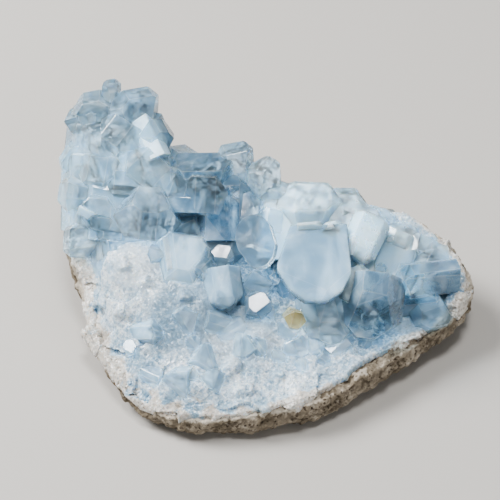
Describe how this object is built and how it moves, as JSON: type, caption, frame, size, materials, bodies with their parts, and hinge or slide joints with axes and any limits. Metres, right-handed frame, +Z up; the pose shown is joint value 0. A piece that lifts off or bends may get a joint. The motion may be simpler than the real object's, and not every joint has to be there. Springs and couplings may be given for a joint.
{
  "type": "celestite crystal cluster",
  "caption": "Pale blue celestite crystals on a rind of sandy grey rock: a rounded, broken piece of a geode's wall that lies on its rind.",
  "frame": {"origin": "middle of the flat patch under the rind that the cluster rests on", "axes": "+Z up, +X to the right as seen from the low front edge, +Y away from the viewer to the high back"},
  "size_m": [0.104, 0.0768, 0.0512],
  "materials": {
    "rind_rock": "rough, sandy",
    "celestite": "glassy, translucent"
  },
  "bodies": {
    "root": {"matrix_rock": "rind_rock", "celestite_crust": "celestite"}
  },
  "joints": []
}
